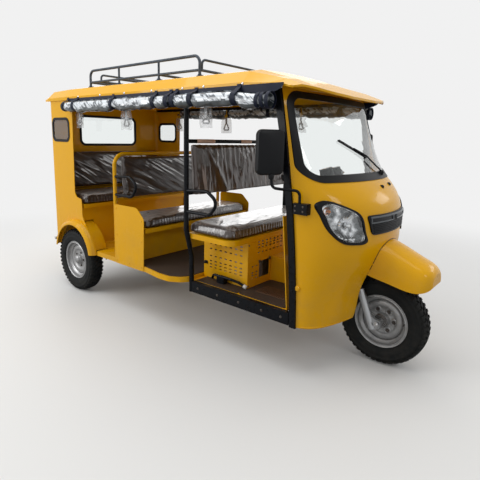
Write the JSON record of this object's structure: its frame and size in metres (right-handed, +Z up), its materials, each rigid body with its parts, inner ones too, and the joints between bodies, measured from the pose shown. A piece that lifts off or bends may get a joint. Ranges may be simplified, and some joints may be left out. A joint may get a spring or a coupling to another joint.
{
  "type": "auto rickshaw",
  "caption": "Three-wheeled passenger auto rickshaw with open sides, bench seats in rows, a glazed nose cowl, a roof with a luggage rack and rolled-up side curtains",
  "frame": {"origin": "on the ground plane under the centre of the whole vehicle's bounding box", "axes": "+X forward towards the single front wheel, +Y to the vehicle's left, +Z up"},
  "size_m": [3.298, 1.4288, 1.894],
  "materials": {
    "yellow_paint": "gloss",
    "black_paint": "satin",
    "rack_paint": "satin",
    "rim_paint": "satin",
    "fork_steel": "satin",
    "spring_steel": "matte",
    "engine_alloy": "cast",
    "tyre": "matte",
    "mat_rubber": "matte",
    "seal_rubber": "satin",
    "seat_vinyl": "satin",
    "curtain_film": "gloss",
    "black_plastic": "matte",
    "window_glass": "gloss",
    "lamp_lens": "gloss",
    "red_lens": "gloss"
  },
  "bodies": {
    "chassis": {"chassis_frame": "black_paint", "side_sills": "black_paint", "front_floor": "yellow_paint", "rear_platform": "yellow_paint", "floor_mats": "mat_rubber", "engine_block": "engine_alloy", "engine_cover": "yellow_paint", "seat_pan": "yellow_paint", "seat_cushions": "seat_vinyl", "seat_backrests": "seat_vinyl", "seat_boxes": "yellow_paint", "door_posts": "black_paint", "roof_rails": "black_paint", "roof_shell": "yellow_paint", "rack_rails": "rack_paint", "rack_crossbars": "rack_paint", "middle_back_frame": "yellow_paint", "side_panels": "yellow_paint", "rear_quarters": "yellow_paint", "rear_wall": "yellow_paint", "wheel_housings": "yellow_paint", "cowl": "yellow_paint", "glazing": "window_glass", "window_gaskets": "seal_rubber", "headlights": "lamp_lens", "lamp_bezels": "black_plastic", "nose_grille": "black_plastic", "front_mudguard": "yellow_paint", "curtain_rolls": "curtain_film", "grab_handles": "black_paint", "mirrors": "black_plastic", "mirror_arms": "black_paint", "wiper": "black_paint", "tail_lamps": "red_lens", "rear_axle": "black_paint", "leaf_springs": "spring_steel", "foot_controls": "black_paint"},
    "steering": {"fork": "fork_steel", "handlebar": "black_paint"},
    "front_wheel": {"front_tyre": "tyre", "front_rim": "rim_paint"},
    "rear_wheel_left": {"rear_tyre_left": "tyre", "rear_rim_left": "rim_paint"},
    "rear_wheel_right": {"rear_tyre_right": "tyre", "rear_rim_right": "rim_paint"}
  },
  "joints": [
    {"name": "steer", "type": "hinge", "parent": "chassis", "child": "steering", "pos_m": [1.295, 0, 0.272], "axis": [-0.3649, 0, 0.9311], "range_deg": [-38, 38]},
    {"name": "front_wheel_spin", "type": "hinge", "parent": "steering", "child": "front_wheel", "pos_m": [1.363, 0, 0.2725], "axis": [0, 1, 0], "continuous": true},
    {"name": "rear_wheel_left_spin", "type": "hinge", "parent": "chassis", "child": "rear_wheel_left", "pos_m": [-1.157, 0.581, 0.2725], "axis": [0, 1, 0], "continuous": true},
    {"name": "rear_wheel_right_spin", "type": "hinge", "parent": "chassis", "child": "rear_wheel_right", "pos_m": [-1.157, -0.581, 0.2725], "axis": [0, 1, 0], "continuous": true}
  ]
}
